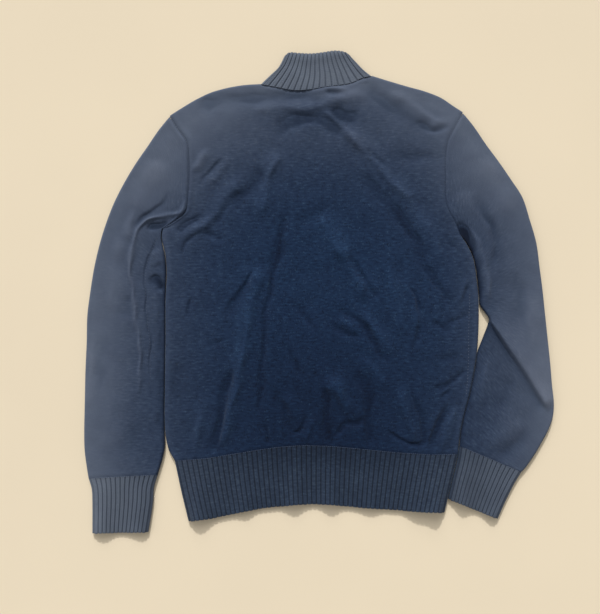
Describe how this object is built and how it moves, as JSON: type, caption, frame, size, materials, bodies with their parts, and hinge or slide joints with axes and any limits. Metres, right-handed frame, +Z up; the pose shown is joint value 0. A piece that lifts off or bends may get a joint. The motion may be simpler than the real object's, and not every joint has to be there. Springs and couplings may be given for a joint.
{
  "type": "button-neck sweater, laid face down",
  "caption": "Knitted sweater with a ribbed stand collar, button bands, set-in sleeves and ribbed cuffs and hem, lying flat with its back up.",
  "frame": {"origin": "on the table under the middle of the garment's outline", "axes": "+Z up off the table, +Y towards the collar, +X to the picture's right across the body"},
  "size_m": [0.752, 0.771, 0.0213],
  "materials": {
    "knit": "heathered navy stocking stitch with a soft brushed nap",
    "rib": "heathered navy knitted rib",
    "band": "heathered navy doubled knit band",
    "button": "dark polished four-hole button"
  },
  "bodies": {
    "root": {"back_panel": "knit", "front_panel": "knit", "sleeve_left": "knit", "sleeve_right": "knit", "cuff_left": "rib", "cuff_right": "rib", "hem_rib": "rib", "collar": "rib", "buttonhole_band": "band", "button_band": "band", "button_1": "button", "button_2": "button", "button_3": "button", "button_4": "button"}
  },
  "joints": []
}
